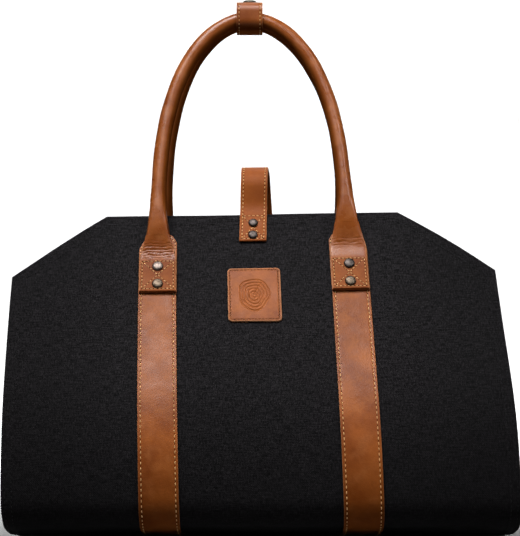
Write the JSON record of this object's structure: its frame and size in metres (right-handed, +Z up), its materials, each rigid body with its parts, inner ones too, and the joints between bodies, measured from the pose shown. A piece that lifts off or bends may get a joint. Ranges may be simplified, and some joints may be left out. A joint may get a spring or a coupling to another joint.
{
  "type": "canvas log carrier",
  "caption": "Open-ended canvas sling for carrying firewood, on leather straps with two rolled handles held by a keeper.",
  "frame": {"origin": "on the floor under the middle of the standing carrier", "axes": "+X along the sling from its left open end to its right one as seen from the front, +Y from the front panel to the back panel, +Z up to the keeper"},
  "size_m": [0.4994, 0.356, 0.5675],
  "materials": {
    "canvas": "heavy black cotton canvas, plain weave, matte, doubled hems with black thread",
    "leather": "oiled cognac brown leather, semi-gloss, raw edges, ochre thread",
    "hardware": "antique nickel, domed caps, lightly tarnished"
  },
  "bodies": {
    "root": {"canvas_sling": "canvas", "strap_left": "leather", "strap_right": "leather", "handle_base_front_left": "leather", "handle_base_front_right": "leather", "handle_base_back_left": "leather", "handle_base_back_right": "leather", "handle_front": "leather", "handle_back": "leather", "closing_strap": "leather", "keeper_band": "leather", "patch": "leather", "rivet_front_left_upper": "hardware", "rivet_front_left_lower": "hardware", "rivet_front_right_upper": "hardware", "rivet_front_right_lower": "hardware", "rivet_back_left_upper": "hardware", "rivet_back_left_lower": "hardware", "rivet_back_right_upper": "hardware", "rivet_back_right_lower": "hardware", "closing_rivet_upper": "hardware", "closing_rivet_lower": "hardware", "closing_snap": "hardware", "keeper_snap": "hardware"}
  },
  "joints": []
}
